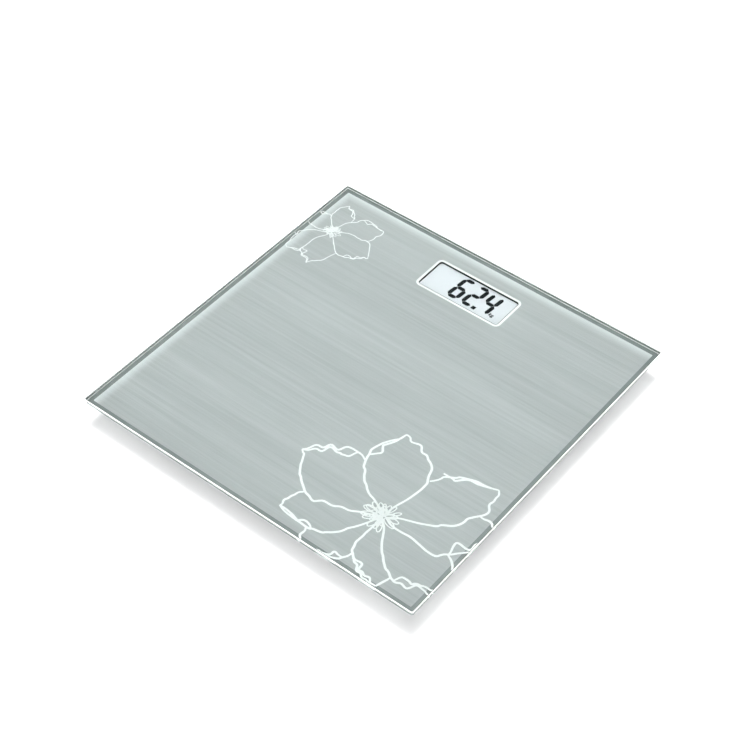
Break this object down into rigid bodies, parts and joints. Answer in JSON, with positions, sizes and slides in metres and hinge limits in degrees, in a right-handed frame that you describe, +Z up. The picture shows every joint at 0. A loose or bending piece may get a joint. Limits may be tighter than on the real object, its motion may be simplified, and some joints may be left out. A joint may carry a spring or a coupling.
{
  "type": "glass personal scale",
  "caption": "Square glass platform scale on load-cell feet, with a brushed silver backing, white line flowers and an LCD window near one edge.",
  "frame": {"origin": "on the floor under the middle of the platform, at the bottom of the foot pads", "axes": "+Z up; +Y away from the user, towards the display edge; +X to the user's right"},
  "size_m": [0.3, 0.3, 0.02],
  "materials": {
    "clear_glass": "polished, clear, green at the edges",
    "brushed_backing": "brushed silver print, streaks along X",
    "white_print": "white print",
    "lcd_segment": "dark liquid-crystal segments",
    "housing_plastic": "fine moulded texture",
    "cover_plastic": "fine moulded texture",
    "screw_steel": "zinc plated",
    "lcd_glass": "reflective liquid-crystal pane",
    "reflector_sheet": "white reflector sheet",
    "zebra_rubber": "layered elastomer connector",
    "circuit_board": "green solder mask",
    "black_resin": "potting resin",
    "switch_plastic": "moulded",
    "button_plastic": "moulded",
    "cell_steel": "nickel plated",
    "contact_spring": "plated spring strip",
    "load_cell_steel": "nickel plated, ground",
    "gauge_sealant": "white silicone over the gauge",
    "foot_plastic": "fine moulded texture",
    "pad_rubber": "soft grey rubber",
    "cable_sheath": "thin insulated leads"
  },
  "bodies": {
    "platform": {"glass_platform": "clear_glass", "backing_film": "brushed_backing", "window_outline": "white_print", "housing_frame": "housing_plastic", "housing_cover": "cover_plastic", "cover_screw_front_left": "screw_steel", "cover_screw_front_right": "screw_steel", "cover_screw_back_left": "screw_steel", "cover_screw_back_right": "screw_steel", "lcd_panel": "lcd_glass", "lcd_reflector": "reflector_sheet", "zebra_strip": "zebra_rubber", "main_board": "circuit_board", "controller_chip": "black_resin", "quartz_crystal": "cell_steel", "unit_switch": "switch_plastic", "coin_cell": "cell_steel", "contact_positive": "contact_spring", "contact_negative": "contact_spring", "foot_base_front_left": "foot_plastic", "load_cell_front_left": "load_cell_steel", "strain_gauge_front_left": "gauge_sealant", "foot_ring_front_left": "foot_plastic", "foot_base_front_right": "foot_plastic", "load_cell_front_right": "load_cell_steel", "strain_gauge_front_right": "gauge_sealant", "foot_ring_front_right": "foot_plastic", "foot_base_back_left": "foot_plastic", "load_cell_back_left": "load_cell_steel", "strain_gauge_back_left": "gauge_sealant", "foot_ring_back_left": "foot_plastic", "foot_base_back_right": "foot_plastic", "load_cell_back_right": "load_cell_steel", "strain_gauge_back_right": "gauge_sealant", "foot_ring_back_right": "foot_plastic", "cable_cover_front_left": "foot_plastic", "cable_cover_back_left": "foot_plastic", "sensor_cable_front_left": "cable_sheath", "sensor_cable_back_left": "cable_sheath", "cable_cover_front_right": "foot_plastic", "cable_cover_back_right": "foot_plastic", "sensor_cable_front_right": "cable_sheath", "sensor_cable_back_right": "cable_sheath"},
    "battery_door": {"battery_door": "cover_plastic"},
    "unit_button": {"unit_button": "button_plastic", "switch_plunger": "switch_plastic"},
    "foot_front_left": {"foot_plunger_front_left": "foot_plastic", "foot_pad_front_left": "pad_rubber"},
    "foot_front_right": {"foot_plunger_front_right": "foot_plastic", "foot_pad_front_right": "pad_rubber"},
    "foot_back_left": {"foot_plunger_back_left": "foot_plastic", "foot_pad_back_left": "pad_rubber"},
    "foot_back_right": {"foot_plunger_back_right": "foot_plastic", "foot_pad_back_right": "pad_rubber"}
  },
  "joints": [
    {"name": "battery_door_slide", "type": "slide", "parent": "platform", "child": "battery_door", "axis": [0, -1, 0], "range_m": [0, 0.026]},
    {"name": "unit_button_press", "type": "slide", "parent": "platform", "child": "unit_button", "axis": [0, 0, 1], "range_m": [0, 0.0006], "stiffness_N_per_m": 600, "springref_m": -0.001},
    {"name": "foot_front_left_play", "type": "slide", "parent": "platform", "child": "foot_front_left", "axis": [0, 0, 1], "range_m": [-0.0008, 0]},
    {"name": "foot_front_right_play", "type": "slide", "parent": "platform", "child": "foot_front_right", "axis": [0, 0, 1], "range_m": [-0.0008, 0]},
    {"name": "foot_back_left_play", "type": "slide", "parent": "platform", "child": "foot_back_left", "axis": [0, 0, 1], "range_m": [-0.0008, 0]},
    {"name": "foot_back_right_play", "type": "slide", "parent": "platform", "child": "foot_back_right", "axis": [0, 0, 1], "range_m": [-0.0008, 0]}
  ]
}
